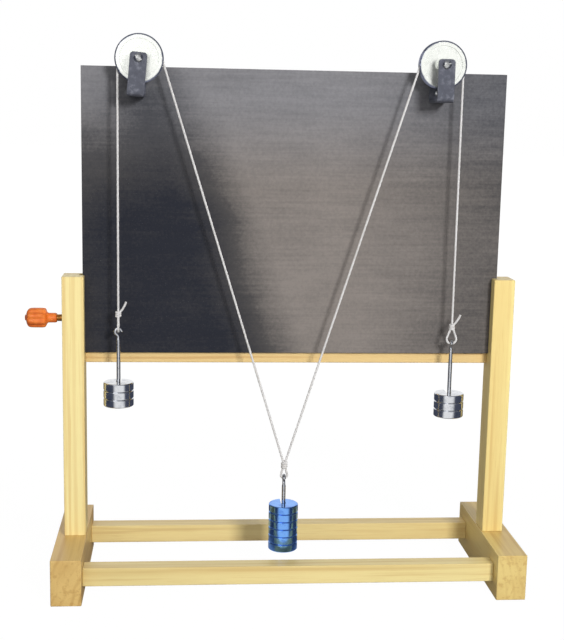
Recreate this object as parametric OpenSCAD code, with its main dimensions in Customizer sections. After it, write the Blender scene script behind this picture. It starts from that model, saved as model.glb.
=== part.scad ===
// Parallelogram of forces apparatus: a black board held upright in a wooden stand, a cord
// over two pulleys at its upper edge, and three weight hangers on the cord.
// Millimetres. +Z is up and +Y points away from the side that carries the pulleys. The
// origin is on the table, in the middle of the box that the whole part fills.

/* [Stand] */
// Width of an upright, seen from the front
upright_w = 23; // [21:0.5:30]
// Depth of an upright, front to back
upright_d = 30; // [28:0.5:40]
// Height of an upright above its foot
upright_h = 286; // [270:1:330]
// Width of a foot
foot_w = 32; // [30:0.5:40]
// Height of a foot
foot_h = 50; // [42:0.5:60]
// Length of a foot, front to back
foot_length = 180; // [150:1:220]
// How far a foot stands out past the outer face of its upright
foot_step = 8; // [3:0.5:9]
// Side of the square rails between the feet
rail_side = 20; // [16:0.5:24]
// Height of the underside of these rails above the table
rail_lift = 15.5; // [8:0.5:20]
// Set-back of these rails from the ends of the feet
rail_inset = 15; // [8:0.5:25]
// Height of the cross rail's upper edge, which carries the board, above the table
ledge_z = 252; // [235:1:268]
// Height of the cross rail
cross_h = 12; // [10:0.5:20]
// Set-back of the cross rail behind the front of the uprights
cross_inset = 19; // [17:0.5:20]

/* [Wood joints] */
// Length of the tenons on rails and uprights
tenon_l = 14; // [8:0.5:17]
// Shoulder left on every side of a tenon
tenon_shoulder = 3; // [2:0.25:3.5]
// Room on every side of a tenon in its mortise
tenon_gap = 0.1; // [0.05:0.05:0.3]
// Depth of the grooves that hold the edges of the board
groove_depth = 6; // [5:0.25:8]
// Room before and behind the board in its grooves
groove_gap = 0.2; // [0.1:0.05:0.4]

/* [Board] */
// Width of the board
board_w = 450; // [400:1:520]
// Height of the board
board_h = 303; // [280:1:340]
// Thickness of the board
board_t = 9; // [7:0.5:10]
// Set-back of the board's face behind the front of the uprights
board_inset = 14; // [10:0.5:15]

/* [Clamp] */
// Depth of the clamp screw below the top of the left upright
clamp_drop = 47; // [30:1:55]
// Diameter of the clamp screw
clamp_d = 8; // [6:0.25:8.5]
// Running room round the clamp screw in its bush
clamp_gap = 0.05; // [0.02:0.01:0.1]
// Length of screw that shows between the upright and the knob
clamp_show = 7; // [5:0.5:14]
// Diameter of the threaded bush
bush_d = 12; // [11:0.25:14]
// Length of the threaded bush
bush_l = 13; // [8:0.5:14]
// Lap of the board's edge in its groove on the clamp side
clamp_lap = 2; // [1:0.25:2.5]
// Thickness of the shoe that bears on the board's edge
shoe_t = 1.6; // [1:0.1:2]
// Height of the shoe
shoe_h = 24; // [16:0.5:32]
// Diameter of the knob
knob_d = 21.5; // [18:0.5:28]
// Length of the knob's fluted grip
knob_grip = 18.5; // [14:0.5:26]
// Length of the knob's neck
knob_neck = 12; // [8:0.5:16]
// Length of the taper from that neck to the grip
knob_taper = 3; // [1.5:0.25:5]
// Diameter of the neck
neck_d = 10.5; // [10:0.25:13]
// Height of the dome on the knob's outer end
knob_dome = 3.5; // [2:0.25:5]
// Number of flutes round the grip
flute_count = 8; // [6:1:10]
// Diameter of a flute
flute_d = 5; // [3:0.25:6]
// Depth of a flute
flute_depth = 1.2; // [0.6:0.1:1.5]

/* [Pulleys] */
// Distance of the left axle from the board's left end
left_inset = 61; // [42:0.5:110]
// Distance of the right axle from the board's right end
right_inset = 75; // [46:0.5:110]
// Height of the axles above the upper edge of the board
axle_rise = 7.5; // [6:0.25:9]
// Distance of the cord from the board's face
cord_reach = 22; // [20:0.5:30]
// Outer diameter of a pulley
pulley_d = 50; // [44:0.5:56]
// Width of a pulley's rim
rim_w = 10; // [8:0.25:14]
// Depth of the cord groove in the rim
rim_groove = 4.2; // [3:0.1:5]
// Width of the rim's edge on either side of the groove
rim_edge = 1.4; // [0.8:0.1:1.6]
// Radial breadth of the bevel on the rim's outer edges
rim_bevel = 2; // [1:0.25:3]
// Width of the land between that bevel and the groove
rim_land = 0.2; // [0.1:0.05:0.5]
// Radial breadth of the raised ring round a pulley's face
rim_ring = 5; // [4.5:0.25:7]
// Depth of a pulley's face below that ring
dish = 1; // [0.5:0.1:2]
// Diameter of a pulley's hub
hub_d = 14; // [11:0.5:18]
// Length of a pulley's hub
hub_l = 24; // [18:0.5:28]
// Diameter of an axle screw
axle_d = 5; // [4:0.25:6]
// Running room round an axle screw
axle_gap = 0.05; // [0.02:0.01:0.1]
// Diameter of an axle screw's head
axle_head_d = 9; // [7.5:0.25:11]
// Height of an axle screw's head
axle_head_h = 3.4; // [2.5:0.1:4.5]
// Width of an axle nut across its flats
nut_flats = 8; // [7.5:0.25:9]
// Thickness of an axle nut
nut_t = 4; // [3:0.25:5]
// Length of axle screw that stands out of its nut
axle_proud = 1.5; // [0.5:0.25:3]
// Outer diameter of a spacer sleeve
sleeve_d = 8.5; // [7.5:0.25:10]
// End play of the pulley between its sleeves
end_play = 0.1; // [0.05:0.05:0.3]

/* [Pulley frames] */
// Width of the bent strip
strip_w = 17.5; // [14:0.5:22]
// Thickness of the bent strip
strip_t = 2.5; // [1.5:0.25:3]
// Radius of the corners at the strip's ends
strip_round = 3.5; // [1:0.25:5]
// Outer radius of the strip's bends
bend_r = 6; // [4:0.25:8]
// Height of the strip's ends above the axle
frame_rise = 5.5; // [4:0.25:8]
// Depth of the frame's underside below the axle
frame_drop = 38.5; // [37:0.5:48]
// Lean of the left frame, lower end outwards
left_lean = 5; // [0:0.5:8]
// Diameter of the wood screws in a frame
wood_screw_d = 3.5; // [2.5:0.25:4]
// Length of a wood screw under its head
wood_screw_l = 10; // [7:0.5:10.5]
// Diameter of a wood screw's head
wood_head_d = 7; // [6:0.25:8.5]
// Height of a wood screw's head
wood_head_h = 2.4; // [1.6:0.1:3]
// Room round a wood screw in its holes
wood_screw_gap = 0.05; // [0.02:0.01:0.2]
// Depth of the upper wood screw below the axle
upper_screw = 15; // [12.5:0.25:18]
// Depth of the lower wood screw below the axle
lower_screw = 29; // [26:0.25:30]

/* [Weights and hangers] */
// Diameter of a weight
weight_d = 32; // [26:0.5:34]
// Thickness of a weight
weight_t = 8.5; // [7:0.25:9.5]
// Chamfer on a weight's edges
weight_chamfer = 0.7; // [0.3:0.1:1.2]
// Width of a weight's slot
slot_w = 5.4; // [5.2:0.1:7]
// Gap between the weights of a stack
stack_gap = 0.1; // [0.05:0.05:0.3]
// Height of a hanger, from its underside to the top of its hook
hanger_h = 85; // [80:0.5:105]
// Diameter of a hanger's stem
stem_d = 4.2; // [3.6:0.1:4.6]
// Diameter of the stem's upper end, which is bent into the hook
hook_d = 3.2; // [2.6:0.1:3.5]
// Length over which the stem narrows to the hook
stem_taper = 3; // [1:0.5:6]
// Radius of a hanger's hook, at the middle of the wire
hook_r = 3.5; // [3.3:0.1:5]
// Turn of the hook from where its bend meets the stem to its tip, in degrees
hook_turn = 250; // [220:5:270]
// Room round the stem in the base of its hanger
stem_gap = 0.03; // [0.01:0.01:0.1]
// Height of the left hanger's underside above the table
left_hang_z = 199; // [185:0.5:210]
// Height of the right hanger's underside above the table
right_hang_z = 187; // [175:0.5:205]
// Height of the middle hanger's underside above the table
centre_hang_z = 36.5; // [30:0.5:80]

/* [Cord] */
// Diameter of the cord
cord_d = 2.4; // [1.4:0.1:2.6]
// Room between the cord and what it runs in or round
cord_gap = 0.2; // [0.1:0.05:0.4]
// Room between a cord loop and the hook that hangs in it
loop_gap = 0.4; // [0.3:0.05:0.6]
// Radius of the bend at the bottom of a side loop, at the middle of the cord
side_loop_r = 5.2; // [4.8:0.1:6]
// Radius of the bend at the bottom of the middle loop, at the middle of the cord
centre_loop_r = 3.4; // [3.4:0.1:4]
// Height of a side knot above the wire of the hook that hangs in its loop
side_loop_rise = 15.5; // [14:0.5:24]
// Height of the middle knot above the wire of the hook that hangs in its loop
centre_loop_rise = 11.6; // [11.6:0.1:20]
// Diameter of the knots at the side hangers
side_knot_d = 7; // [6:0.1:8]
// Diameter of the knot that joins the two cords
centre_knot_d = 8.6; // [8.2:0.1:11]
// Length of the loose tail at a side knot
tail_l = 16; // [8:0.5:22]
// Lean of that tail from upright, in degrees
tail_lean = 40; // [38:1:60]

/* [Hidden] */
$fn = 64;
WOOD = "burlywood";
STEEL = "silver";
SHINY = "gainsboro";
CORD = "whitesmoke";

// Widths and places across the part
upright_gap = board_w - clamp_lap - groove_depth;
knob_reach = clamp_show + knob_neck + knob_grip + knob_dome;
mid_x = (knob_reach - foot_step) / 2;
left_face = mid_x - upright_gap / 2;
right_face = mid_x + upright_gap / 2;
board_right = right_face + groove_depth;
board_left = board_right - board_w;
clamp_face = left_face - upright_w;
foot_inside = upright_gap / 2 + upright_w + foot_step - foot_w;
left_axle_x = board_left + left_inset;
right_axle_x = board_right - right_inset;
pulley_spread = right_axle_x - left_axle_x;
centre_x = (left_axle_x + right_axle_x) / 2;

// Places from front to back
upright_front = -upright_d / 2;
board_face = upright_front + board_inset;
board_mid_y = board_face + board_t / 2;
cross_front = upright_front + cross_inset;
cross_d = upright_d - cross_inset;
cord_y = board_face - cord_reach;
rail_mid_y = foot_length / 2 - rail_inset - rail_side / 2;

// Heights
board_top = ledge_z + board_h;
axle_z = board_top + axle_rise;
rail_mid_z = rail_lift + rail_side / 2;
cross_mid_z = ledge_z - cross_h / 2;
upright_top = foot_h + upright_h;
clamp_z = upright_top - clamp_drop;

// The cord's path round a pulley, and the hanging cords
rim_r = pulley_d / 2;
groove_r = rim_r - rim_groove;
turn_r = groove_r + cord_gap + cord_d / 2;
left_hang_x = left_axle_x - turn_r;
right_hang_x = right_axle_x + turn_r;

// Heights of the hook's wire, of a side knot and of the point where the two cords meet
function hook_z(hang_z) = hang_z + hanger_h - hook_d / 2;
function knot_z(hang_z) = hook_z(hang_z) + side_loop_rise;
junction_z = hook_z(centre_hang_z) + centre_loop_rise;

// The slanting cords: their lean from upright and their straight length
fall = axle_z - junction_z;
span = norm([pulley_spread / 2, fall]);
slant = atan(pulley_spread / 2 / fall) - asin(turn_r / span);
slant_l = sqrt(span * span - turn_r * turn_r) - centre_knot_d / 2 - cord_gap;

// Points on an arc, for outlines
function arc(cx, cy, r, from, to, steps = 8) =
    [for (i = [0:steps]) let (a = from + (to - from) * i / steps) [cx + r * cos(a), cy + r * sin(a)]];

// Block centred on a point
module block(size, at) {
    translate(at) cube(size, center = true);
}

// Stretch of a round bar along X, from one place to another
module bar_x(d, from, to, y, z) {
    translate([from, y, z]) rotate([0, 90, 0]) cylinder(d = d, h = to - from);
}

// Stretch of a round bar along Y, from one place to another
module bar_y(d, from, to) {
    translate([0, from, 0]) rotate([-90, 0, 0]) cylinder(d = d, h = to - from);
}

// Puts the right-hand half of the stand in place, or its mirror image on the left
module on_side(side) {
    translate([mid_x, 0, 0]) mirror([side < 0 ? 1 : 0, 0, 0]) children();
}

// Section of a tenon, or with room added the section of its mortise
function tenon(side, room = 0) = side - 2 * tenon_shoulder + 2 * room;

// Rail between two faces, with a tenon at either end
module tenoned_rail(gap, d, h, y, z) {
    block([gap, d, h], [mid_x, y, z]);
    block([gap + 2 * tenon_l, tenon(d), tenon(h)], [mid_x, y, z]);
}

// Foot with its mortises, as on the right-hand side
module foot_shape() {
    depth = tenon_l + tenon_gap;
    difference() {
        block([foot_w, foot_length, foot_h], [foot_inside + foot_w / 2, 0, foot_h / 2]);
        translate([upright_gap / 2 + upright_w / 2, 0, foot_h])
            cube([tenon(upright_w, tenon_gap), tenon(upright_d, tenon_gap), 2 * depth], center = true);
        for (y = [-rail_mid_y, rail_mid_y])
            translate([foot_inside, y, rail_mid_z])
                cube([2 * depth, tenon(rail_side, tenon_gap), tenon(rail_side, tenon_gap)], center = true);
    }
}

module left_foot() {
    color(WOOD) on_side(-1) foot_shape();
}

module right_foot() {
    color(WOOD) on_side(1) foot_shape();
}

// Upright with its tenon, its board groove and the cross rail's mortise, as on the right-hand side
module upright_shape() {
    inside = upright_gap / 2;
    mid = inside + upright_w / 2;
    groove_w = board_t + 2 * groove_gap;
    groove_l = upright_top - ledge_z;
    difference() {
        union() {
            block([upright_w, upright_d, upright_h], [mid, 0, foot_h + upright_h / 2]);
            block([tenon(upright_w), tenon(upright_d), 2 * tenon_l], [mid, 0, foot_h]);
        }
        block([2 * groove_depth, groove_w, 2 * groove_l], [inside, board_mid_y, upright_top]);
        block([2 * (tenon_l + tenon_gap), tenon(cross_d, tenon_gap), tenon(cross_h, tenon_gap)],
            [inside, cross_front + cross_d / 2, cross_mid_z]);
    }
}

// The left upright also carries the threaded bush and lets the clamp screw through
module left_upright() {
    color(WOOD) difference() {
        on_side(-1) upright_shape();
        bar_x(clamp_d + 2 * clamp_gap, clamp_face - 1, left_face, board_mid_y, clamp_z);
        bar_x(bush_d, clamp_face - 1, clamp_face + bush_l, board_mid_y, clamp_z);
    }
}

module right_upright() {
    color(WOOD) on_side(1) upright_shape();
}

module front_rail() {
    color(WOOD) tenoned_rail(2 * foot_inside, rail_side, rail_side, -rail_mid_y, rail_mid_z);
}

module rear_rail() {
    color(WOOD) tenoned_rail(2 * foot_inside, rail_side, rail_side, rail_mid_y, rail_mid_z);
}

module cross_rail() {
    color(WOOD) tenoned_rail(upright_gap, cross_d, cross_h, cross_front + cross_d / 2, cross_mid_z);
}

module clamp_bush() {
    color("goldenrod") difference() {
        bar_x(bush_d, clamp_face, clamp_face + bush_l, board_mid_y, clamp_z);
        bar_x(clamp_d + 2 * clamp_gap, clamp_face - 1, clamp_face + bush_l + 1, board_mid_y, clamp_z);
    }
}

// Flat shoe in the left groove, against the edge of the board
module clamp_shoe() {
    color(STEEL) block([shoe_t, board_t, shoe_h], [board_left - shoe_t / 2, board_mid_y, clamp_z]);
}

// The screw runs from the shoe to the middle of the knob
module clamp_screw() {
    color("goldenrod")
        bar_x(clamp_d, clamp_face - clamp_show - knob_neck, board_left - shoe_t, board_mid_y, clamp_z);
}

// Knob: a domed end, a fluted grip and a slimmer neck round the screw
module clamp_knob() {
    r = knob_d / 2;
    edge = flute_depth;
    color("orangered") translate([clamp_face - clamp_show, board_mid_y, clamp_z]) rotate([0, -90, 0])
        difference() {
            rotate_extrude() polygon(concat(
                [[0, 0], [neck_d / 2, 0], [neck_d / 2, knob_neck - knob_taper],
                 [r - edge, knob_neck], [r, knob_neck + edge]],
                arc(r - edge, knob_neck + knob_grip - edge, edge, 0, 90, 4),
                [[r / 2, knob_neck + knob_grip + knob_dome * 0.7], [0, knob_neck + knob_grip + knob_dome]]));
            translate([0, 0, -1]) cylinder(d = clamp_d, h = knob_neck + 1);
            for (i = [0:flute_count - 1]) rotate([0, 0, i * 360 / flute_count])
                translate([r + flute_d / 2 - flute_depth, 0, knob_neck])
                    cylinder(d = flute_d, h = knob_grip + knob_dome);
        }
}

// Puts the left pulley's own frame in place, or its mirror image on the right
module at_pulley(side) {
    translate([side < 0 ? left_axle_x : right_axle_x, cord_y, axle_z])
        mirror([side < 0 ? 0 : 1, 0, 0]) children();
}

function lean(side) = side < 0 ? left_lean : 0;

// Puts a pulley frame's parts in place with that frame's lean
module at_frame(side) {
    at_pulley(side) rotate([0, lean(side), 0]) children();
}

// The wood screws of a frame, or the holes that they need, one above the other
module at_frame_screws() {
    for (depth = [upper_screw, lower_screw]) translate([0, cord_reach, -depth]) children();
}

module board() {
    hole_l = wood_screw_l - strip_t + wood_screw_gap;
    color("dimgray") difference() {
        translate([board_left, board_face, ledge_z]) cube([board_w, board_t, board_h]);
        for (side = [-1, 1]) at_frame(side) at_frame_screws()
            bar_y(wood_screw_d + 2 * wood_screw_gap, -1, hole_l);
    }
}

// Bent strip seen from the side, front arm on the left, axle at the origin
module frame_outline() {
    inner_r = bend_r - strip_t;
    bend_y = cord_reach - bend_r;
    bend_z = bend_r - frame_drop;
    inside = cord_reach - strip_t;
    polygon(concat(
        [[-cord_reach, frame_rise]],
        arc(-bend_y, bend_z, bend_r, 180, 270),
        arc(bend_y, bend_z, bend_r, 270, 360),
        [[cord_reach, frame_rise], [inside, frame_rise]],
        arc(bend_y, bend_z, inner_r, 360, 270),
        arc(-bend_y, bend_z, inner_r, 270, 180),
        [[-inside, frame_rise]]));
}

module pulley_frame(side) {
    color("black") at_frame(side) difference() {
        rotate([90, 0, 90]) linear_extrude(strip_w, center = true) frame_outline();
        bar_y(axle_d + 2 * axle_gap, -cord_reach - 1, cord_reach + 1);
        at_frame_screws() bar_y(wood_screw_d + 2 * wood_screw_gap, -strip_t - 1, 1);
        for (turn = [0, 180]) rotate([0, 0, turn]) strip_corner();
    }
}

// What is cut off one side's corners of the strip, at both of its ends
module strip_corner() {
    x = strip_w / 2 - strip_round;
    z = frame_rise - strip_round;
    difference() {
        translate([x, -cord_reach - 1, z]) cube([strip_round + 1, 2 * cord_reach + 2, strip_round + 1]);
        translate([x, 0, z]) bar_y(2 * strip_round, -cord_reach - 2, cord_reach + 2);
    }
}

module left_pulley_frame() {
    pulley_frame(-1);
}

module right_pulley_frame() {
    pulley_frame(1);
}

// Round-headed wood screw along +Y, with its head on the face of the strip
module wood_screw() {
    r = wood_screw_d / 2;
    head_r = wood_head_d / 2;
    point = 2 * wood_screw_d;
    translate([0, -strip_t, 0]) rotate([-90, 0, 0]) rotate_extrude() polygon([
        [0, -wood_head_h], [head_r * 0.6, -wood_head_h * 0.8], [head_r, -wood_head_h * 0.3], [head_r, 0],
        [r, 0], [r, wood_screw_l - point * 0.5], [0, wood_screw_l]]);
}

module frame_screws(side) {
    color(STEEL) at_frame(side) at_frame_screws() wood_screw();
}

module left_frame_screws() {
    frame_screws(-1);
}

module right_frame_screws() {
    frame_screws(1);
}

// Turned pulley: hub, dished face on both sides, raised ring and cord groove
module pulley(side) {
    bore = axle_d / 2 + axle_gap;
    half = rim_w / 2;
    web = half - dish;
    ring_r = rim_r - rim_ring;
    mouth = half - rim_edge;
    bed = cord_d / 2 + cord_gap;
    front = [[bore, hub_l / 2], [hub_d / 2, hub_l / 2], [hub_d / 2, web], [ring_r, web],
        [ring_r, half], [rim_r - rim_bevel, half], [rim_r, mouth + rim_land], [rim_r, mouth],
        [groove_r, bed]];
    back = [for (i = [len(front) - 1:-1:0]) [front[i][0], -front[i][1]]];
    color(SHINY) at_pulley(side) rotate([90, 0, 0]) rotate_extrude() polygon(concat(front, back));
}

module left_pulley() {
    pulley(-1);
}

module right_pulley() {
    pulley(1);
}

// Axle screw through both arms of the frame, its rounded head at the front
module axle(side) {
    head_r = axle_head_d / 2;
    end = 2 * cord_reach + nut_t + axle_proud;
    color(STEEL) at_pulley(side) translate([0, -cord_reach, 0]) rotate([-90, 0, 0])
        rotate_extrude() polygon([
            [0, -axle_head_h], [head_r * 0.5, -axle_head_h * 0.9], [head_r * 0.85, -axle_head_h * 0.6],
            [head_r, -axle_head_h * 0.2], [head_r, 0], [axle_d / 2, 0], [axle_d / 2, end], [0, end]]);
}

module left_axle() {
    axle(-1);
}

module right_axle() {
    axle(1);
}

module axle_nut(side) {
    color(STEEL) at_pulley(side) difference() {
        translate([0, cord_reach, 0]) rotate([-90, 0, 0]) cylinder(d = nut_flats / cos(30), h = nut_t, $fn = 6);
        bar_y(axle_d + 2 * axle_gap, cord_reach - 1, cord_reach + nut_t + 1);
    }
}

module left_axle_nut() {
    axle_nut(-1);
}

module right_axle_nut() {
    axle_nut(1);
}

// One spacer sleeve before the pulley's hub and one behind it
module axle_sleeves(side) {
    inner = hub_l / 2 + end_play;
    outer = cord_reach - strip_t;
    color(STEEL) at_pulley(side) for (turn = [0, 180]) rotate([0, 0, turn]) difference() {
        bar_y(sleeve_d, inner, outer);
        bar_y(axle_d + 2 * axle_gap, inner - 1, outer + 1);
    }
}

module left_axle_sleeves() {
    axle_sleeves(-1);
}

module right_axle_sleeves() {
    axle_sleeves(1);
}

// Stations along a hanger's stem in the XZ plane, each with its place, its heading in degrees and
// its diameter: the straight stem, the swing to one side and the hook over the stem's axis
swing = 60;
eye_z = hanger_h - hook_d / 2 - hook_r;
straight_l = eye_z - 2 * hook_r * sin(swing);
wire = concat(
    [[0, 0, 90, stem_d], [0, straight_l - stem_taper, 90, stem_d], [0, straight_l, 90, hook_d]],
    [for (a = [15:15:swing]) [hook_r * cos(a) - hook_r, straight_l + hook_r * sin(a), 90 + a, hook_d]],
    [for (i = [1:20]) let (a = 180 + swing - hook_turn * i / 20)
        [hook_r * cos(a), eye_z + hook_r * sin(a), a - 90, hook_d]]);

// Round bar along such stations
module tube(stations, sides) {
    last = len(stations) - 1;
    rings = [for (s = stations) for (k = [0:sides - 1])
        let (u = cos(k * 360 / sides) * s[3] / 2, v = sin(k * 360 / sides) * s[3] / 2)
        [s[0] - u * sin(s[2]), v, s[1] + u * cos(s[2])]];
    skin = [for (i = [0:last - 1]) for (k = [0:sides - 1]) let (n = (k + 1) % sides)
        [i * sides + k, i * sides + n, (i + 1) * sides + n, (i + 1) * sides + k]];
    caps = [[for (k = [sides - 1:-1:0]) k], [for (k = [0:sides - 1]) last * sides + k]];
    polyhedron(rings, concat(skin, caps), convexity = 6);
}

// Stem that swings out and back into a hook; facing turns it about its own axis
module hanger_stem(x, hang_z, facing) {
    color(SHINY) translate([x, cord_y, hang_z]) rotate([0, 0, facing]) tube(wire, 12);
}

// Round disc with chamfered edges, standing on z = 0
module disc() {
    r = weight_d / 2;
    c = weight_chamfer;
    rotate_extrude() polygon([[0, 0], [r - c, 0], [r, c], [r, weight_t - c], [r - c, weight_t], [0, weight_t]]);
}

module hanger_base(x, hang_z) {
    color(SHINY) translate([x, cord_y, hang_z]) difference() {
        disc();
        translate([0, 0, -1]) cylinder(d = stem_d + 2 * stem_gap, h = weight_t + 2);
    }
}

// Slotted weight, counted upwards from the base of its hanger, its slot open to the back
module slotted_weight(x, hang_z, level) {
    color(SHINY) translate([x, cord_y, hang_z + level * (weight_t + stack_gap)]) difference() {
        disc();
        translate([0, 0, -1]) cylinder(d = slot_w, h = weight_t + 2);
        translate([-slot_w / 2, 0, -1]) cube([slot_w, weight_d, weight_t + 2]);
    }
}

// Directions in which the hooks face: the left one is seen flat, the other two edge on
FLAT_ON = 0;
EDGE_ON = -90;

module left_hanger_stem() {
    hanger_stem(left_hang_x, left_hang_z, FLAT_ON);
}

module left_hanger_base() {
    hanger_base(left_hang_x, left_hang_z);
}

module left_weight(level) {
    slotted_weight(left_hang_x, left_hang_z, level);
}

module right_hanger_stem() {
    hanger_stem(right_hang_x, right_hang_z, EDGE_ON);
}

module right_hanger_base() {
    hanger_base(right_hang_x, right_hang_z);
}

module right_weight(level) {
    slotted_weight(right_hang_x, right_hang_z, level);
}

module centre_hanger_stem() {
    hanger_stem(centre_x, centre_hang_z, EDGE_ON);
}

module centre_hanger_base() {
    hanger_base(centre_x, centre_hang_z);
}

module centre_weight(level) {
    slotted_weight(centre_x, centre_hang_z, level);
}

// Cord from the side of a pulley straight down to the knot at its hanger
module hanging_cord(side, hang_z) {
    length = axle_z - knot_z(hang_z) - side_knot_d / 2 - cord_gap;
    color(CORD) at_pulley(side) translate([-turn_r, 0, -length]) cylinder(d = cord_d, h = length);
}

// Cord over a pulley, in its groove
module pulley_cord(side) {
    color(CORD) at_pulley(side) rotate([90, 0, 0]) rotate([0, 0, slant])
        rotate_extrude(angle = 180 - slant) translate([turn_r, 0]) circle(d = cord_d);
}

// Cord from a pulley down to the knot in the middle
module slant_cord(side) {
    color(CORD) at_pulley(side) translate([turn_r * cos(slant), 0, turn_r * sin(slant)])
        rotate([0, 180 - slant, 0]) cylinder(d = cord_d, h = slant_l);
}

// Loop that hangs from a knot and bends round a hook's wire, square to the hook. Its stations are
// in the XZ plane with the wire at the origin: down one strand, round the bend and up the other
module cord_loop(x, hang_z, knot_d, loop_r, rise, facing) {
    bend_z = loop_r - cord_d / 2 - loop_gap - hook_d / 2;
    reach = rise - bend_z;
    half = asin(loop_r / reach);
    strand = sqrt(reach * reach - loop_r * loop_r);
    start = max(knot_d / 2 + cord_gap, 0.55 * cord_d / sin(half));
    down = [for (i = [0:3]) let (l = start + (strand - start) * i / 4)
        [-l * sin(half), rise - l * cos(half), 270 - half, cord_d]];
    bend = [for (i = [0:12]) let (a = 180 - half + (180 + 2 * half) * i / 12)
        [loop_r * cos(a), bend_z + loop_r * sin(a), a + 90, cord_d]];
    up = [for (i = [3:-1:0]) [-down[i][0], down[i][1], 90 + half, cord_d]];
    color(CORD) translate([x, cord_y, hook_z(hang_z)]) rotate([0, 0, facing + 90])
        tube(concat(down, bend, up), 8);
}

// Knot above a loop, turned about a leaning axis, on which a loose tail of some length may follow
module cord_knot(x, z, knot_d, tail = 0) {
    r = knot_d / 2;
    end = tail > 0 ? [[cord_d / 2, tail], [0, tail]] : [[0, r]];
    color(CORD) translate([x, cord_y, z]) rotate([0, tail_lean, 0]) rotate_extrude()
        polygon(concat([[0, -r]], arc(0, 0, r, -80, acos(cord_d / knot_d), 12), end));
}

module left_hanging_cord() {
    hanging_cord(-1, left_hang_z);
}

module left_pulley_cord() {
    pulley_cord(-1);
}

module left_slant_cord() {
    slant_cord(-1);
}

module left_cord_knot() {
    cord_knot(left_hang_x, knot_z(left_hang_z), side_knot_d, tail_l);
}

module left_cord_loop() {
    cord_loop(left_hang_x, left_hang_z, side_knot_d, side_loop_r, side_loop_rise, FLAT_ON);
}

module right_hanging_cord() {
    hanging_cord(1, right_hang_z);
}

module right_pulley_cord() {
    pulley_cord(1);
}

module right_slant_cord() {
    slant_cord(1);
}

module right_cord_knot() {
    cord_knot(right_hang_x, knot_z(right_hang_z), side_knot_d, tail_l);
}

module right_cord_loop() {
    cord_loop(right_hang_x, right_hang_z, side_knot_d, side_loop_r, side_loop_rise, EDGE_ON);
}

// Knot that ties the two slanting cords to the loop of the middle hanger
module centre_cord_knot() {
    cord_knot(centre_x, junction_z, centre_knot_d);
}

module centre_cord_loop() {
    cord_loop(centre_x, centre_hang_z, centre_knot_d, centre_loop_r, centre_loop_rise, EDGE_ON);
}

left_foot();
right_foot();
left_upright();
right_upright();
front_rail();
rear_rail();
cross_rail();
clamp_bush();
clamp_shoe();
clamp_screw();
clamp_knob();
board();
left_pulley_frame();
right_pulley_frame();
left_frame_screws();
right_frame_screws();
left_pulley();
right_pulley();
left_axle();
right_axle();
left_axle_nut();
right_axle_nut();
left_axle_sleeves();
right_axle_sleeves();
left_hanger_stem();
left_hanger_base();
left_weight(1);  // left_weight_1
left_weight(2);  // left_weight_2
right_hanger_stem();
right_hanger_base();
right_weight(1);  // right_weight_1
right_weight(2);  // right_weight_2
centre_hanger_stem();
centre_hanger_base();
centre_weight(1);  // centre_weight_1
centre_weight(2);  // centre_weight_2
centre_weight(3);  // centre_weight_3
centre_weight(4);  // centre_weight_4
centre_weight(5);  // centre_weight_5
left_hanging_cord();
left_pulley_cord();
left_slant_cord();
left_cord_knot();
left_cord_loop();
right_hanging_cord();
right_pulley_cord();
right_slant_cord();
right_cord_knot();
right_cord_loop();
centre_cord_knot();
centre_cord_loop();
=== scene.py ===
"""Looks of the parallelogram of forces apparatus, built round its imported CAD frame. Metres, +Z up."""

import math

import bpy
import numpy as np
from mathutils import Matrix, Vector


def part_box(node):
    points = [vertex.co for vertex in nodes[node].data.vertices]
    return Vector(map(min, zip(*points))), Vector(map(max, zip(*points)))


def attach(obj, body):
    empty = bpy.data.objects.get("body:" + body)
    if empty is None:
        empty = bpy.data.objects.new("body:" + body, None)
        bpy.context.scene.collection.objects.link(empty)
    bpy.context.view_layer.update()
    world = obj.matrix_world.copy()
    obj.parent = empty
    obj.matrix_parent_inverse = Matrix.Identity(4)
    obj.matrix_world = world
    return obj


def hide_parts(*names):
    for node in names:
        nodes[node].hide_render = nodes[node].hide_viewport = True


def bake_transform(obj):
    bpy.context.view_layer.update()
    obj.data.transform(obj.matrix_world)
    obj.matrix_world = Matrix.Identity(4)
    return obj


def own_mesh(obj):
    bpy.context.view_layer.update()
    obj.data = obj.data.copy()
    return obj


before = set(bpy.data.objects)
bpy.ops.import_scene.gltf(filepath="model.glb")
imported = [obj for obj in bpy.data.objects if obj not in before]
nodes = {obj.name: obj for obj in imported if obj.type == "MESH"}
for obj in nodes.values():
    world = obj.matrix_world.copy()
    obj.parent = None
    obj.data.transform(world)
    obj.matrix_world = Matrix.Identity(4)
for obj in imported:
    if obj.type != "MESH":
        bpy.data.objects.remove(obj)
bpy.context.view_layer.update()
scene = bpy.context.scene
scene.view_settings.view_transform = "Standard"
MM = 0.001
SIDES = ("left", "right")


def middle(node):
    """Centre of a CAD node's box."""
    low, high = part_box(node)
    return (low + high) / 2


# ---- shaders ----


def srgb(r, g, b):
    """Linear colour of an 8-bit sRGB one."""
    return tuple((c / 255 / 12.92) if c <= 10 else ((c / 255 + 0.055) / 1.055) ** 2.4 for c in (r, g, b)) + (1.0,)


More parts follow.
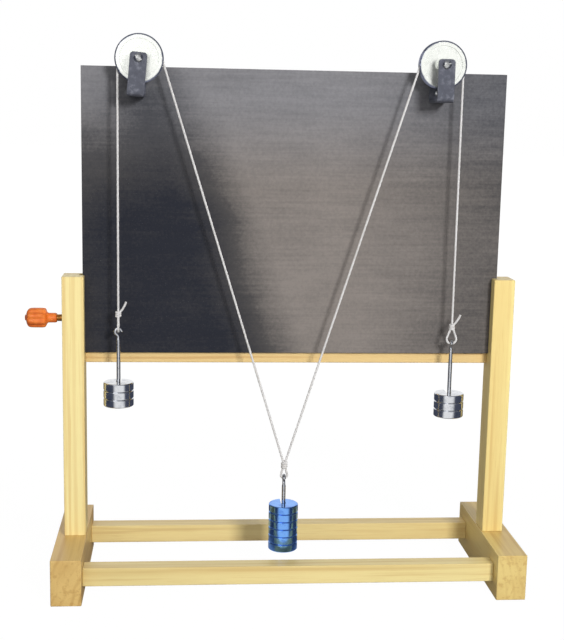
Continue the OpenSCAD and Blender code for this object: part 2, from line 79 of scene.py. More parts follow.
class Tree:
    """Short ways to add shader nodes. Where a value is asked for, a socket is linked instead."""

    def __init__(self, tree):
        self.tree = tree

    def node(self, kind, inputs=None, **settings):
        n = self.tree.nodes.new("ShaderNode" + kind)
        for key, value in settings.items():
            setattr(n, key, value)
        for key, value in (inputs or {}).items():
            if isinstance(value, bpy.types.NodeSocket):
                self.tree.links.new(value, n.inputs[key])
            else:
                n.inputs[key].default_value = value
        return n

    def place(self):
        return self.node("TexCoord").outputs["Object"]

    def axes(self, vector):
        return self.node("SeparateXYZ", {0: vector}).outputs[0:3]

    def join(self, x, y, z):
        return self.node("CombineXYZ", {0: x, 1: y, 2: z}).outputs[0]

    def shift(self, vector, by):
        return self.node("VectorMath", {0: vector, 1: by}, operation="ADD").outputs[0]

    def length(self, vector):
        return self.node("VectorMath", {0: vector}, operation="LENGTH").outputs["Value"]

    def math(self, operation, a, b):
        return self.node("Math", {0: a, 1: b}, operation=operation).outputs[0]

    def noise(self, vector, scale, detail=2.0, roughness=0.5):
        inputs = {"Vector": vector, "Scale": scale, "Detail": detail, "Roughness": roughness}
        return self.node("TexNoise", inputs).outputs[0]

    def remap(self, value, low, high, to_low=0.0, to_high=1.0, smooth=True):
        inputs = {0: value, 1: low, 2: high, 3: to_low, 4: to_high}
        return self.node("MapRange", inputs, interpolation_type="SMOOTHSTEP" if smooth else "LINEAR").outputs[0]

    def ramp(self, value, *stops):
        n = self.node("ValToRGB", {0: value})
        marks = n.color_ramp.elements
        while len(marks) < len(stops):
            marks.new(0.5)
        for mark, (at, colour) in zip(marks, stops):
            mark.position, mark.color = at, colour
        return n.outputs[0]

    def mix(self, factor, a, b):
        return self.node("Mix", {0: factor, 6: a, 7: b}, data_type="RGBA").outputs[2]

    def blend(self, factor, a, b):
        return self.node("MixShader", {0: factor, 1: a, 2: b}).outputs[0]


class Look(Tree):
    """A material for a slot, with constants on its shader's own sockets."""

    def __init__(self, name, slot, **values):
        self.slot = slot
        self.material = bpy.data.materials.new(name)
        self.material.use_nodes = True
        super().__init__(self.material.node_tree)
        self.shader = self.tree.nodes["Principled BSDF"]
        for key, value in values.items():
            self.shader.inputs[key.replace("_", " ")].default_value = value

    def set(self, key, socket):
        self.tree.links.new(socket, self.shader.inputs[key])

    def bump(self, height, strength, distance):
        self.set("Normal", self.node("Bump", {"Height": height, "Strength": strength, "Distance": distance}).outputs[0])


# The axes across and along each grain
GRAIN = {"x": (1, 2, 0), "y": (0, 2, 1), "z": (0, 1, 2)}


def wood(name, grain, seed, light, dark):
    """Clear-varnished pale wood: growth rings round an axis beside the piece, fibres along the grain."""
    look = Look(name, "wood", Roughness=0.4, Coat_Weight=0.15, Coat_Roughness=0.25)
    axes = look.axes(look.place())
    across_1, across_2, along = (axes[i] for i in GRAIN[grain])
    slow = look.shift(
        look.join(across_1, across_2, look.math("MULTIPLY", along, 0.05)),
        (0.061 + 0.017 * seed, 0.043 - 0.011 * seed, 0.37 * seed))
    fine = look.join(across_1, across_2, look.math("MULTIPLY", along, 0.02))
    rings = look.node(
        "TexWave",
        {"Vector": slow, "Scale": 34.0, "Distortion": 4.5, "Detail": 3.0, "Detail Scale": 0.9, "Phase Offset": 1.3 * seed},
        wave_type="RINGS", rings_direction="Z").outputs[1]
    fibres = look.noise(fine, 1500.0, 3.0, 0.6)
    streaks = look.noise(fine, 230.0)
    broad = look.noise(slow, 26.0, 3.0)
    lines = look.math("MULTIPLY", rings, look.remap(look.noise(slow, 24.0), 0.3, 0.7, 0.45, 1.0))
    half = tuple((a + b) / 2 for a, b in zip(light, dark))
    colour = look.ramp(lines, (0.0, light), (0.4, light), (0.82, half), (1.0, dark))
    colour = look.mix(look.remap(broad, 0.38, 0.7, 0.0, 0.75), colour, half)
    colour = look.mix(look.remap(streaks, 0.52, 0.72, 0.0, 0.5), colour, dark)
    colour = look.mix(look.remap(fibres, 0.5, 0.75, 0.0, 0.35), colour, dark)
    look.set("Base Color", colour)
    look.set("Roughness", look.remap(fibres, 0.3, 0.7, 0.36, 0.5))
    look.bump(look.math("ADD", fibres, look.math("MULTIPLY", rings, 0.4)), 0.25, 0.2 * MM)
    return look


def board_paint():
    """Black board paint, brushed on level, with a painted sheen of light and a chalk haze on its front, right of a
    slanted line and at the top.
    """
    look = Look("board_paint", "board_paint", Roughness=0.6, Specular_IOR_Level=0.12)
    place, centre = look.place(), middle("board")
    x, y, z = look.axes(place)
    strokes = look.noise(look.join(look.math("MULTIPLY", x, 0.03), y, z), 420.0, 3.0, 0.6)
    wipes = look.noise(look.join(look.math("MULTIPLY", x, 0.25), y, z), 60.0, 4.0, 0.6)
    mottle = look.noise(place, 330.0, 4.0, 0.7)
    cloud = look.noise(place, 7.0, 3.0)
    specks = look.noise(place, 900.0, 2.0, 0.6)

    # How far a place lies past the painted shade of the dark lower left corner, with a lighter left edge
    slant = look.math("ADD", x, look.math("MULTIPLY", look.math("SUBTRACT", z, centre.z), 0.36))
    right = look.remap(slant, centre.x - 0.13, centre.x - 0.035, 0.0, 1.0, False)
    above = look.remap(z, centre.z - 0.01, centre.z + 0.17, 0.0, 0.85, False)
    away = look.length(look.join(right, above, 0.0))
    away = look.math("ADD", away, look.remap(cloud, 0.3, 0.7, -0.14, 0.14, False))
    away = look.math("ADD", away, look.remap(x, centre.x - 0.225, centre.x - 0.13, 0.24, 0.0))

    # The painted sheen and chalk haze thin towards the right edge and the top, and are missing at the back
    fall = look.math("MULTIPLY", look.remap(x, 0.06, 0.25, 1.0, 0.66), look.remap(z, 0.26, 0.5, 1.0, 0.93))
    fall = look.math("MULTIPLY", fall, look.remap(y, centre.y - 3 * MM, centre.y + 1 * MM, 1.0, 0.3))
    sheen_and_chalk = look.math("MULTIPLY", look.remap(away, -0.05, 1.15), fall)
    for texture, depth in ((strokes, 0.05), (wipes, 0.05), (mottle, 0.07)):
        sheen_and_chalk = look.math("ADD", sheen_and_chalk, look.remap(texture, 0.3, 0.7, -depth, depth, False))

    # Dark paint lightened by the painted sheen of light and the chalk haze
    warm = look.ramp(sheen_and_chalk, (0.0, srgb(38, 40, 48)), (0.5, srgb(75, 73, 73)), (1.0, srgb(134, 127, 122)))
    cool = look.ramp(sheen_and_chalk, (0.0, srgb(38, 40, 48)), (0.5, srgb(74, 75, 80)), (1.0, srgb(131, 130, 133)))
    colour = look.mix(look.remap(z, centre.z + 0.02, centre.z + 0.13), warm, cool)
    colour = look.mix(look.remap(specks, 0.62, 0.8, 0.0, 0.25), colour, srgb(150, 148, 144))
    look.set("Base Color", colour)
    look.set("Roughness", look.remap(strokes, 0.3, 0.7, 0.5, 0.68))
    look.bump(look.math("ADD", strokes, look.math("MULTIPLY", specks, 0.3)), 0.35, 0.2 * MM)
    return look


def black_enamel():
    """Black stove enamel, worn grey in places."""
    look = Look("black_enamel", "black_metal", Roughness=0.45, Specular_IOR_Level=0.35)
    place = look.place()
    worn = look.noise(place, 160.0, 4.0, 0.65)
    colour = look.ramp(worn, (0.0, srgb(62, 64, 72)), (0.52, srgb(84, 86, 96)), (0.72, srgb(124, 126, 136)))
    look.set("Base Color", colour)
    look.set("Roughness", look.remap(worn, 0.4, 0.75, 0.4, 0.58))
    look.bump(look.noise(place, 900.0), 0.15, 0.2 * MM)
    return look


WAVES = 20 / (2 * math.pi)  # rings of a wave texture of scale 1 over one metre


def turned_metal(name, slot, centre, axis, light, dark, roughness, spacing, metallic=1.0, rim=None):
    """Bright metal with the fine rings of a lathe round an axis. With a rim's radius given, darkened towards it by a
    painted dark reflection.
    """
    look = Look(name, slot, Metallic=metallic, Roughness=roughness)
    place = look.shift(look.place(), tuple(-c for c in centre))
    rings = look.node(
        "TexWave", {"Vector": place, "Scale": 1 / WAVES / spacing, "Distortion": 0.6, "Detail": 2.0, "Detail Scale": 3.0},
        wave_type="RINGS", rings_direction=axis).outputs[1]
    stain = look.noise(place, 130.0, 4.0, 0.6)
    colour = look.mix(look.remap(stain, 0.45, 0.75), light, dark)
    if rim:
        x, _, z = look.axes(place)
        away = look.length(look.join(x, 0.0, z))
        away = look.math("ADD", away, look.remap(stain, 0.3, 0.7, -0.4 * MM, 0.4 * MM, False))
        # Painted dark reflection: a blue-grey ring towards the rim
        colour = look.mix(look.remap(away, rim - 2.2 * MM, rim - 0.7 * MM), colour, srgb(112, 116, 136))
    look.set("Base Color", colour)
    look.set("Roughness", look.remap(stain, 0.3, 0.7, roughness * 0.8, roughness * 1.35))
    look.bump(rings, 0.025, 0.1 * MM)
    return look


def plain_metal(name, slot, light, dark, roughness):
    """Plated metal with small stains and scratches."""
    look = Look(name, slot, Metallic=1.0, Roughness=roughness)
    place = look.place()
    x, y, z = look.axes(place)
    stain = look.noise(place, 300.0, 4.0, 0.6)
    scratch = look.noise(look.join(x, y, look.math("MULTIPLY", z, 0.1)), 2500.0)
    look.set("Base Color", look.mix(look.remap(stain, 0.4, 0.75), light, dark))
    look.set("Roughness", look.remap(stain, 0.3, 0.7, roughness * 0.75, roughness * 1.4))
    look.bump(scratch, 0.1, 0.1 * MM)
    return look


def knob_plastic():
    """Orange moulded plastic."""
    look = Look("knob_plastic", "knob", Roughness=0.38, Subsurface_Weight=0.05, Coat_Weight=0.1)
    place = look.place()
    cloud = look.noise(place, 150.0, 3.0)
    grain = look.noise(place, 2200.0)
    colour = look.ramp(cloud, (0.25, srgb(216, 98, 31)), (0.6, srgb(236, 128, 50)), (0.85, srgb(244, 154, 86)))
    look.set("Base Color", colour)
    look.set("Roughness", look.remap(grain, 0.3, 0.7, 0.32, 0.46))
    look.bump(grain, 0.12, 0.2 * MM)
    return look


def cord_yarn():
    """White cotton, greyed with age."""
    look = Look("cord_yarn", "cord", Roughness=0.85, Sheen_Weight=0.25, Specular_IOR_Level=0.2)
    place = look.place()
    lint = look.noise(place, 1800.0, 3.0, 0.7)
    age = look.noise(place, 60.0, 3.0)
    colour = look.ramp(lint, (0.2, srgb(178, 176, 175)), (0.55, srgb(220, 218, 217)), (0.8, srgb(236, 234, 233)))
    look.set("Base Color", look.mix(look.remap(age, 0.45, 0.75, 0.0, 0.5), colour, srgb(196, 193, 189)))
    look.bump(lint, 0.5, 0.3 * MM)
    return look


# ---- meshes ----


def add(name, vertices, faces):
    """A smooth-shaded mesh object."""
    mesh = bpy.data.meshes.new(name)
    mesh.from_pydata([tuple(v) for v in vertices], [], faces)
    mesh.validate()
    mesh.polygons.foreach_set("use_smooth", [True] * len(mesh.polygons))
    obj = bpy.data.objects.new(name, mesh)
    scene.collection.objects.link(obj)
    return obj


def dress(obj, look):
    """Gives a piece its material."""
    obj.data.materials.clear()
    obj.data.materials.append(look.material)
    return obj


def grid(rings, sides):
    """Faces of a closed tube of rings, with a cap at either end."""
    faces = []
    for i in range(rings - 1):
        for k in range(sides):
            n = (k + 1) % sides
            faces.append((i * sides + k, i * sides + n, (i + 1) * sides + n, (i + 1) * sides + k))
    faces.append(tuple(range(sides - 1, -1, -1)))
    faces.append(tuple((rings - 1) * sides + k for k in range(sides)))
    return faces


def even(points, step):
    """The same line with points at an even step, and their lengths along it."""
    points = np.array([tuple(p) for p in points], float)
    run = np.concatenate([[0], np.cumsum(np.linalg.norm(np.diff(points, axis=0), axis=1))])
    count = max(2, int(round(run[-1] / step)) + 1)
    at = np.linspace(0, run[-1], count)
    return np.stack([np.interp(at, run, points[:, i]) for i in range(3)], 1), at


def sweep(name, points, radius, sides, step):
    """Tube along a line. radius(run, whole, angles) gives a section's radii at a length along the whole line."""
    line, run = even(points, step)
    ahead = np.gradient(line, axis=0)
    ahead /= np.linalg.norm(ahead, axis=1)[:, None]
    side = np.cross(ahead[0], (0.13, 0.97, 0.21))  # any direction that no line starts along
    side /= np.linalg.norm(side)
    angles = np.arange(sides) * 2 * math.pi / sides
    rings = []
    for i, p in enumerate(line):
        side = side - ahead[i] * side.dot(ahead[i])
        side /= np.linalg.norm(side)
        other = np.cross(ahead[i], side)
        r = radius(run[i], run[-1], angles)[:, None]
        rings.append(p + r * (np.cos(angles)[:, None] * side + np.sin(angles)[:, None] * other))
    return add(name, np.concatenate(rings), grid(len(line), sides)), line


def lathe(name, profile, base, sides=48):
    """Solid of revolution: profile is (radius, height) towards +Y from base."""
    turn = Vector((0, 0, 1)).rotation_difference(Vector((0, 1, 0))).to_matrix()
    vertices = []
    for r, h in profile:
        for k in range(sides):
            a = 2 * math.pi * k / sides
            vertices.append(Vector(base) + turn @ Vector((r * math.cos(a), r * math.sin(a), h)))
    return add(name, vertices, grid(len(profile), sides))


def carve(obj, size, place, turn):
    """Cuts a block out of a piece."""
    bpy.ops.mesh.primitive_cube_add(size=1)
    cutter = bpy.context.active_object
    cutter.matrix_world = Matrix.Translation(place) @ turn.to_4x4() @ Matrix.Diagonal((*size, 1))
    cut = obj.modifiers.new("cut", "BOOLEAN")
    cut.object, cut.operation, cut.solver = cutter, "DIFFERENCE", "EXACT"
    bpy.context.view_layer.update()
    made = bpy.data.meshes.new_from_object(obj.evaluated_get(bpy.context.evaluated_depsgraph_get()))
    obj.modifiers.clear()
    obj.data = made
    bpy.data.objects.remove(cutter)


def soften(obj, width, angle=35):
    """Small rounded edges where faces meet at more than an angle in degrees."""
    bevel = obj.modifiers.new("edges", "BEVEL")
    bevel.width, bevel.segments, bevel.limit_method = width, 2, "ANGLE"
    bevel.angle_limit = math.radians(angle)
    bevel.harden_normals = True
    normals = obj.modifiers.new("normals", "WEIGHTED_NORMAL")
    normals.keep_sharp = True


def finish_node(name, look, edge):
    """Material and rounded edges for a CAD node. Its triangles are joined first, so that only real edges are rounded."""
    obj = dress(nodes[name], look)
    obj.data.polygons.foreach_set("use_smooth", [True] * len(obj.data.polygons))
    kept = obj.data.attributes.get("custom_normal")
    if kept:
        obj.data.attributes.remove(kept)
    weld = obj.modifiers.new("weld", "WELD")
    weld.merge_threshold = 0.002 * MM
    flat = obj.modifiers.new("flat", "DECIMATE")
    flat.decimate_type, flat.angle_limit = "DISSOLVE", math.radians(0.5)
    soften(obj, edge)


def piece(obj, body, stands_for):
    """A scene piece that rides on a body in place of a CAD node."""
    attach(obj, body)
    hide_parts(stands_for)
    return obj


# ---- stand and board ----

# Grain, light and dark colour of each wooden piece. The tones differ partly by the wood and partly as painted light and
# shade: the right upright is toned down where the key lamp lights it more, and the feet and the cross rail under the
# board are darker partly as painted shade.
WOODS = {
    "left_foot": ("y", (224, 190, 120), (190, 146, 80)),
    "right_foot": ("y", (230, 205, 132), (196, 156, 90)),
    "left_upright": ("z", (250, 235, 169), (222, 186, 116)),
    "right_upright": ("z", (245, 227, 154), (212, 172, 102)),
    "front_rail": ("x", (238, 220, 156), (206, 172, 106)),
    "rear_rail": ("x", (238, 216, 152), (204, 166, 104)),
    "cross_rail": ("x", (228, 197, 136), (188, 140, 82)),
}
for number, (name, (grain, light, dark)) in enumerate(WOODS.items()):
    finish_node(name, wood("wood_" + name, grain, number, srgb(*light), srgb(*dark)), 0.9 * MM)
finish_node("board", board_paint(), 0.6 * MM)

# ---- clamp ----

brass = plain_metal("brass", "brass", srgb(222, 178, 112), srgb(186, 138, 76), 0.32)
steel = plain_metal("zinc_plate", "steel", srgb(206, 207, 206), srgb(160, 160, 158), 0.3)
finish_node("clamp_bush", brass, 0.3 * MM)
finish_node("clamp_shoe", steel, 0.3 * MM)

PITCH, THREAD, CHAMFER = 1.25 * MM, 0.62 * MM, 0.8 * MM  # of the clamp screw: pitch and depth of its thread, its tip
KNOB, FLUTES, FLUTE = 10.75 * MM, 8, 1.3 * MM  # of the grip: radius, count and depth of its flutes
# Outline of the knob from its neck to its button, as shares of its length, of its radius and of the flutes' depth
KNOB_STATIONS = [
    (0.0, 0.43, 0), (0.015, 0.47, 0), (0.05, 0.485, 0), (0.25, 0.49, 0), (0.28, 0.53, 0), (0.3, 0.62, 0.05),
    (0.32, 0.76, 0.3), (0.335, 0.87, 0.6), (0.355, 0.945, 1), (0.38, 0.98, 1), (0.45, 1.0, 1), (0.7, 1.0, 1),
    (0.8, 0.985, 1), (0.845, 0.955, 1), (0.875, 0.9, 0.9), (0.9, 0.82, 0.6), (0.92, 0.7, 0.25), (0.935, 0.58, 0),
    (0.948, 0.44, 0), (0.954, 0.35, 0), (0.958, 0.3, 0), (0.963, 0.285, 0), (0.98, 0.28, 0), (0.992, 0.25, 0),
    (0.998, 0.16, 0), (1.0, 0.02, 0)]


def clamp_screw():
    """Threaded rod with a chamfered tip."""
    low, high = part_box("clamp_screw")
    y, z, r, length = (low.y + high.y) / 2, (low.z + high.z) / 2, (high.z - low.z) / 2, high.x - low.x
    sides, steps = 40, 8  # round the rod, and along one turn of the thread
    rings = int(length / PITCH * steps)
    vertices = []
    for i in range(rings + 1):
        s = length * i / rings
        tip = min(1.0, (length - s) / CHAMFER)
        for k in range(sides):
            a = 2 * math.pi * k / sides
            saw = abs(2 * ((s / PITCH + k / sides) % 1.0) - 1)
            rad = (r - THREAD * min(1.0, max(0.0, 1.25 * saw - 0.125))) * (0.82 + 0.18 * tip)
            vertices.append((low.x + s, y + rad * math.cos(a), z + rad * math.sin(a)))
    obj = dress(add("clamp_screw_thread", vertices, grid(rings + 1, sides)), brass)
    piece(obj, "clamp_screw", "clamp_screw")


def clamp_knob():
    """Fluted grip between a slim neck and a dome with a small button."""
    low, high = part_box("clamp_knob")
    y, z = (low.y + high.y) / 2, (low.z + high.z) / 2
    stations, sizes, cuts = zip(*KNOB_STATIONS)
    at = np.linspace(0, 1, 90)
    sides, vertices = 96, []
    for t, size, cut in zip(at, np.interp(at, stations, sizes), np.interp(at, stations, cuts)):
        for k in range(sides):
            a = 2 * math.pi * k / sides
            rad = KNOB * size - FLUTE * cut * (0.5 + 0.5 * math.cos(FLUTES * a)) ** 1.6
            vertices.append((high.x - t * (high.x - low.x), y + rad * math.cos(a), z + rad * math.sin(a)))
    faces = [tuple(reversed(f)) for f in grid(len(at), sides)]  # the knob is built towards -X
    obj = dress(add("clamp_knob_grip", vertices, faces), knob_plastic())
    piece(obj, "clamp_screw", "clamp_knob")


clamp_screw()
clamp_knob()

# ---- pulleys ----

AXLE_HEAD, AXLE_SHANK, AXLE_SLOT = 3.4 * MM, 2.5 * MM, 1.1 * MM  # head's height, shank's radius, slot's width
WOOD_HEAD, WOOD_SHANK, WOOD_SLOT = 2.4 * MM, 1.75 * MM, 0.9 * MM
WOOD_PITCH, WOOD_POINT = 1.2 * MM, 3 * MM  # pitch of a wood screw's thread, length of its point
SLOT_TURN = {"left": 35, "right": -20}  # degrees

enamel = black_enamel()
for side in SIDES:
    axle, (low, high) = middle(side + "_pulley"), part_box(side + "_pulley")
    alloy = turned_metal(
        side + "_pulley_alloy", "aluminium", axle, "Y", srgb(248, 250, 244), srgb(236, 239, 233), roughness=0.22,
        spacing=0.35 * MM, metallic=0.7, rim=(high.z - low.z) / 2)
    finish_node(side + "_pulley", alloy, 0.08 * MM)
    finish_node(side + "_pulley_frame", enamel, 0.5 * MM)
    finish_node(side + "_axle_nut", steel, 0.4 * MM)
    finish_node(side + "_axle_sleeves", steel, 0.25 * MM)


def dome(radius, height, start, count):
    """Profile of a round screw head, from a small flat on its top to its edge."""
    return [(radius * math.sin(a), height * (1 - math.cos(a))) for a in np.linspace(start, math.pi / 2, count)]


def axle_screw(side):
    """Slotted round-headed screw along the axle."""
    low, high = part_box(side + "_axle")
    x, z, head, end = (low.x + high.x) / 2, (low.z + high.z) / 2, (high.x - low.x) / 2, high.y - low.y
    profile = dome(head, 0.8 * AXLE_HEAD, 0.1, 10)
    profile += [(head, AXLE_HEAD - 0.2 * MM), (head - 0.2 * MM, AXLE_HEAD), (AXLE_SHANK, AXLE_HEAD)]
    profile += [(AXLE_SHANK, end - 0.6 * MM), (AXLE_SHANK - 0.5 * MM, end)]
    obj = lathe(side + "_axle_screw", profile, (x, low.y, z))
    turn = Matrix.Rotation(math.radians(SLOT_TURN[side]), 3, "Y")
    carve(obj, (12 * MM, 3 * MM, AXLE_SLOT), (x, low.y, z), turn)
    dress(obj, steel)
    soften(obj, 0.12 * MM, 30)
    piece(obj, "board", side + "_axle")


def frame_screws(side):
    """Two slotted round-headed wood screws with threads, where the CAD node has its upper and its lower screw."""
    co = np.array([tuple(v.co) for v in nodes[side + "_frame_screws"].data.vertices])
    middle_z = (co[:, 2].min() + co[:, 2].max()) / 2
    for number, part in enumerate((co[co[:, 2] > middle_z], co[co[:, 2] < middle_z])):
        (x_low, front, z_low), (x_high, back, z_high) = part.min(0), part.max(0)
        x, z, head, length = (x_low + x_high) / 2, (z_low + z_high) / 2, (z_high - z_low) / 2, back - front
        heights = np.arange(WOOD_HEAD + WOOD_PITCH, length - 0.3 * MM, WOOD_PITCH / 2)
        worm = [(WOOD_SHANK * (1.0 if i % 2 else 0.72) * min(1, (length - h) / WOOD_POINT), h)
                for i, h in enumerate(heights)]
        profile = dome(head, 0.85 * WOOD_HEAD, 0.12, 9) + [(head, WOOD_HEAD), (WOOD_SHANK, WOOD_HEAD)]
        profile += worm + [(0.15 * MM, length)]
        obj = lathe("%s_frame_screw_%d" % (side, number + 1), profile, (x, front, z), 32)
        carve(obj, (9 * MM, 2 * MM, WOOD_SLOT), (x, front, z), Matrix.Rotation(0.6 + 1.1 * number, 3, "Y"))
        dress(obj, steel)
        piece(obj, "board", side + "_frame_screws")


for side in SIDES:
    axle_screw(side)
    frame_screws(side)

# ---- weights and hangers ----

COUNTS = {"left": 2, "right": 2, "centre": 5}
# The centre stack's light blue is a painted reflection of blue surroundings on nickel
NICKEL, PAINTED_BLUE_SHEEN = ((224, 226, 230), (188, 192, 199)), ((124, 178, 252), (92, 142, 228))
hangers = {}
for side, count in COUNTS.items():
    low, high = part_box(side + "_hanger_base")
    hangers[side] = Vector(((low.x + high.x) / 2, (low.y + high.y) / 2, low.z))
    light, dark = PAINTED_BLUE_SHEEN if side == "centre" else NICKEL
    for number in range(count + 1):
        name = "%s_weight_%d" % (side, number) if number else side + "_hanger_base"
        nickel = turned_metal(
            "nickel_" + name, "bright_metal", hangers[side], "Z", srgb(*light), srgb(*dark), roughness=0.14,
            spacing=0.5 * MM)
        finish_node(name, nickel, 0.25 * MM)
wire_nickel = plain_metal("nickel_wire", "bright_metal", srgb(208, 210, 214), srgb(170, 173, 178), 0.2)

# The wire's diameter, the length over which the rod narrows to it, its rounded tip, and the rod's and the hook's sizes
WIRE, TAPER, TIP = 3.2 * MM, 3 * MM, 1.5 * MM
low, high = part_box("left_hanger_stem")
ROD, HOOK = high.y - low.y, (high.x - low.x - WIRE) / 2
SWING, TURN = 60, 250  # degrees that the wire bends aside and that the hook then turns back


def hanger_stem(side):
    """Rod that narrows to a wire, which is bent into a hook over the rod's axis and has a rounded tip."""
    base, eye = hangers[side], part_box(side + "_hanger_stem")[1].z - WIRE / 2 - HOOK
    straight = eye - 2 * HOOK * math.sin(math.radians(SWING))

    def bend(u, h, degrees):
        return [(u + HOOK * math.cos(math.radians(a)), h + HOOK * math.sin(math.radians(a))) for a in degrees]

    flat = [(0, base.z), (0, straight)] + bend(-HOOK, straight, range(4, SWING, 4))
    flat += bend(0, eye, np.arange(180 + SWING, 180 + SWING - TURN - 1, -5))
    points = [(base.x + u, base.y, h) if side == "left" else (base.x, base.y - u, h) for u, h in flat]

    def radius(run, whole, angles):
        left = whole - run
        tip = math.sqrt(max(0.02, 1 - (1 - left / TIP) ** 2)) if left < TIP else 1.0
        thick = np.interp(straight - base.z - run, [0, TAPER], [WIRE, ROD])
        return np.full(len(angles), thick / 2 * tip)

    obj, _ = sweep(side + "_hanger_wire", points, radius, 24, 0.45 * MM)
    piece(dress(obj, wire_nickel), side + "_hanger", side + "_hanger_stem")


for side in COUNTS:
    hanger_stem(side)

# ---- cord ----

yarn = cord_yarn()
CORD, STRANDS, LAY = 2.4 * MM, 3, 5.5 * MM  # diameter, strands and the length of one turn of a strand
KNOT_DROP = 3.7 * MM  # from the end of a hanging cord to the middle of its knot
junction = middle("centre_cord_knot")
knots = {"centre": junction}
for side in SIDES:
    hang = middle(side + "_hanging_cord")
    knots[side] = Vector((hang.x, hang.y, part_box(side + "_hanging_cord")[0].z - KNOT_DROP))


def rope(name, points):
    """Twisted cord along a line."""
    def radius(run, whole, angles):
        lobes = 0.5 + 0.5 * np.cos(STRANDS * (angles - 2 * math.pi * run / LAY / STRANDS))
        return CORD / 2 * (0.86 + 0.16 * lobes ** 0.7)

    obj, line = sweep(name, points, radius, 15, 0.32 * CORD)
    return dress(obj, yarn), line


def cord_over_pulley(side):
    """The hanging length, the turn over the pulley and the slanting length of one side's cord."""
    sign = -1 if side == "left" else 1
    axle, knot = middle(side + "_pulley"), knots[side]
    r = abs(axle.x - knot.x)
    span = math.hypot(junction.x - axle.x, axle.z - junction.z)
    slant = math.atan(abs(junction.x - axle.x) / (axle.z - junction.z)) - math.asin(r / span)
    start = Vector((knot.x, axle.y, axle.z))
    leave = Vector((axle.x - sign * r * math.cos(slant), axle.y, axle.z + r * math.sin(slant)))

    hanging, line = rope(side + "_hanging_rope", [start, knot + Vector((0, 0, 1.5 * MM))])
    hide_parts(side + "_hanging_cord")
    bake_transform(hanging)

    arc = [axle + r * Vector((sign * math.cos(a), 0, math.sin(a))) for a in np.linspace(0, math.pi - slant, 60)]
    turn, line = rope(side + "_pulley_rope", arc)
    piece(turn, "board", side + "_pulley_cord")

    end = junction - (junction - leave).normalized() * 2 * MM
    slanting, line = rope(side + "_slant_rope", [leave, end])
    piece(slanting, "board", side + "_slant_cord")
    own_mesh(slanting)


def tie(side):
    """Knot of close turns, with its loose tail at the side hangers."""
    knot, big = knots[side], side == "centre"
    coil_r, turns, tall, first = (2.5 * MM, 3.2, 6.4 * MM, 0.6) if big else (2.15 * MM, 2.6, 5.2 * MM, 2.2)
    coil = []
    for t in np.linspace(0, 1, 70):
        a = 2 * math.pi * turns * t + first
        lean = 0.5 * MM * math.sin(a)
        coil.append(knot + Vector((coil_r * math.cos(a), coil_r * math.sin(a), tall * (t - 0.5) + lean)))
    if not big:
        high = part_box(side + "_cord_knot")[1]
        tip = Vector((high.x - 2.8 * MM, knot.y - 1.5 * MM, high.z + 0.2 * MM))
        ahead = (coil[-1] - coil[-2]).normalized()
        a, b, c, d = coil[-1], coil[-1] + ahead * 3 * MM, tip - Vector((2.6, -0.5, 7.0)) * MM, tip
        for t in np.linspace(0.06, 1, 24):
            coil.append((1 - t) ** 3 * a + 3 * (1 - t) ** 2 * t * b + 3 * (1 - t) * t ** 2 * c + t ** 3 * d)
    obj, _ = rope(side + "_knot_turns", coil)
    return piece(obj, side + "_cord_end", side + "_cord_knot")


def loop(side):
    """Loop from the knot round the hook's wire."""
    knot = knots[side]
    low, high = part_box(side + "_cord_loop")
    r = (max(high.x - low.x, high.y - low.y) - CORD) / 2
    middle_z = low.z + CORD / 2 + r
    half = math.asin(r / (knot.z - middle_z))
    bow = [(r * math.cos(a), middle_z + r * math.sin(a)) for a in np.linspace(math.pi - half, 2 * math.pi + half, 40)]
    inside = knot.z + 0.5 * MM
    flat = [(-0.4 * MM, inside)] + bow + [(0.4 * MM, inside)]
    points = [(knot.x, knot.y + u, h) if side == "left" else (knot.x + u, knot.y, h) for u, h in flat]
    obj, _ = rope(side + "_loop_rope", points)
    return piece(obj, side + "_cord_end", side + "_cord_loop")


tie_ends = {side: tie(side) for side in COUNTS}
loops = {side: loop(side) for side in COUNTS}
for side in SIDES:
    cord_over_pulley(side)

# ---- stage, light, camera ----

DIM, WHITE = (0.055, 0.065, 0.1, 1), (1, 1, 1, 1)
SHEET, PAPER = (0.85, 0.85, 0.85, 1), (1.04, 1.04, 1.04, 1)  # the floor as mirrors see it nearby, and as the camera does
AMBIENT = 0.27  # light from the room on everything that isn't a mirror
# Name, place, aim, size and watts of each lamp. Only the fill is seen in mirrors.
LAMPS = (
    ("key", (0.7, -1.9, 1.05), (0.02, 0, 0.33), 0.4, 36),
    ("fill", (-1.0, -2.0, 1.2), (0, 0, 0.3), 1.4, 10),
    ("back", (-0.6, 2.0, 0.8), (0, 0, 0.3), 1.4, 14),
)
# Fitted to the photo: where the camera is, how far it turns right, looks down and leans, and its lens and film in mm
EYE, BEARING, LENS, FILM = (-0.1011, -1.2792, 0.5149), (4.87, 10.01, 1.14), 67.37, 36


def surroundings(tree, way, behind=1.0):
    """Colour that mirrors see along a direction: white behind and in front, grey above, dim blue at the sides."""
    _, y, z = tree.axes(way)
    back = tree.remap(y, 0.5, 0.88, 0.0, behind)
    front = tree.remap(y, -0.66, -0.9, 0.0, 0.95)
    above = tree.remap(z, 0.5, 0.9, 0.0, 0.28)
    return tree.mix(tree.math("MAXIMUM", tree.math("MAXIMUM", back, front), above), DIM, WHITE)


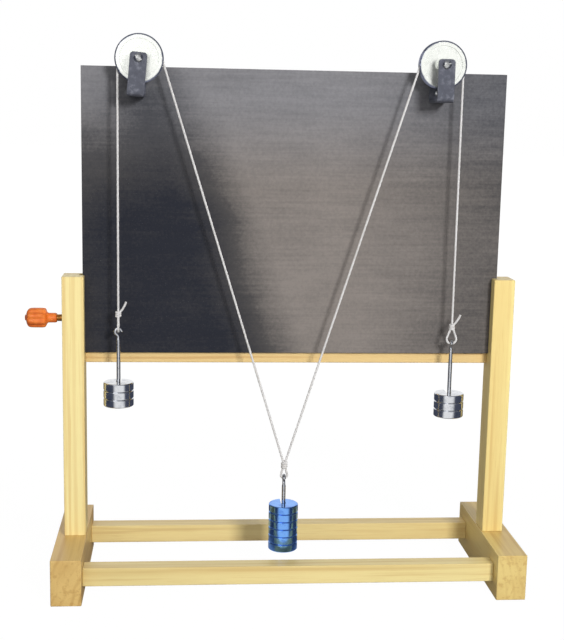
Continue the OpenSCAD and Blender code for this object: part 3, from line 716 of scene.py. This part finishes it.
def floor():
    """Paper that the camera sees as white, while mirrors see the room's colours on it and other rays a grey floor."""
    bpy.ops.mesh.primitive_circle_add(vertices=96, radius=14, fill_type="NGON", location=(0, 0, -0.5 * MM))
    ground = bpy.context.active_object
    ground.name = "floor"
    paper = Look("paper", None, Base_Color=(0.4, 0.4, 0.4, 1), Roughness=0.9, Specular_IOR_Level=0.1)
    ray, place = paper.node("LightPath").outputs, paper.place()
    far = paper.length(place)
    way = paper.node("VectorMath", {0: place}, operation="NORMALIZE").outputs[0]
    room = surroundings(paper, way, paper.remap(far, 1.4, 1.9, 0.0, 1.0, False))
    mirrored = paper.mix(paper.remap(far, 0.03, 0.14, 1.0, 0.0, False), room, SHEET)
    glow = paper.node("Emission", {"Color": paper.mix(ray["Is Glossy Ray"], PAPER, mirrored)}).outputs[0]
    seen = paper.math("MAXIMUM", ray["Is Camera Ray"], ray["Is Glossy Ray"])
    share = paper.math("MULTIPLY", seen, paper.remap(far, 0.5, 2.2, 0.95, 1.0, False))
    surface = paper.blend(share, paper.shader.outputs[0], glow)
    paper.tree.links.new(surface, paper.tree.nodes["Material Output"].inputs["Surface"])
    ground.data.materials.append(paper.material)


def studio():
    """White backdrop for the camera, an even white light, and the room that mirrors see."""
    world = bpy.data.worlds.new("studio")
    scene.world = world
    world.use_nodes = True
    tree = Tree(world.node_tree)
    ray = tree.node("LightPath").outputs
    seen = tree.math("MAXIMUM", ray["Is Camera Ray"], ray["Is Transmission Ray"])
    level = tree.remap(seen, 0.0, 1.0, AMBIENT, 1.0, False)
    plain = tree.node("Background", {"Color": WHITE, "Strength": level}).outputs[0]
    room = surroundings(tree, tree.node("TexCoord").outputs["Generated"])
    mirrored = tree.node("Background", {"Color": room}).outputs[0]
    surface = tree.blend(ray["Is Glossy Ray"], plain, mirrored)
    tree.tree.links.new(surface, tree.tree.nodes["World Output"].inputs["Surface"])

    for name, place, aim, size, power in LAMPS:
        lamp = bpy.data.lights.new(name, "AREA")
        lamp.size, lamp.energy = size, power
        obj = bpy.data.objects.new(name, lamp)
        obj.location = place
        obj.rotation_euler = (Vector(aim) - Vector(place)).to_track_quat("-Z", "Y").to_euler()
        obj.visible_glossy = name == "fill"
        scene.collection.objects.link(obj)


def camera():
    """The photo's view."""
    yaw, pitch, roll = (math.radians(a) for a in BEARING)
    ahead = Vector((math.sin(yaw) * math.cos(pitch), math.cos(yaw) * math.cos(pitch), -math.sin(pitch)))
    right = Vector((math.cos(yaw), -math.sin(yaw), 0))
    up = right.cross(ahead)
    x = right * math.cos(roll) + up * math.sin(roll)
    y = up * math.cos(roll) - right * math.sin(roll)
    data = bpy.data.cameras.new("camera")
    data.lens, data.sensor_width = LENS, FILM
    obj = bpy.data.objects.new("camera", data)
    obj.matrix_world = Matrix.Translation(EYE) @ Matrix((x, y, -ahead)).transposed().to_4x4()
    scene.collection.objects.link(obj)
    scene.camera = obj


floor()
studio()
camera()
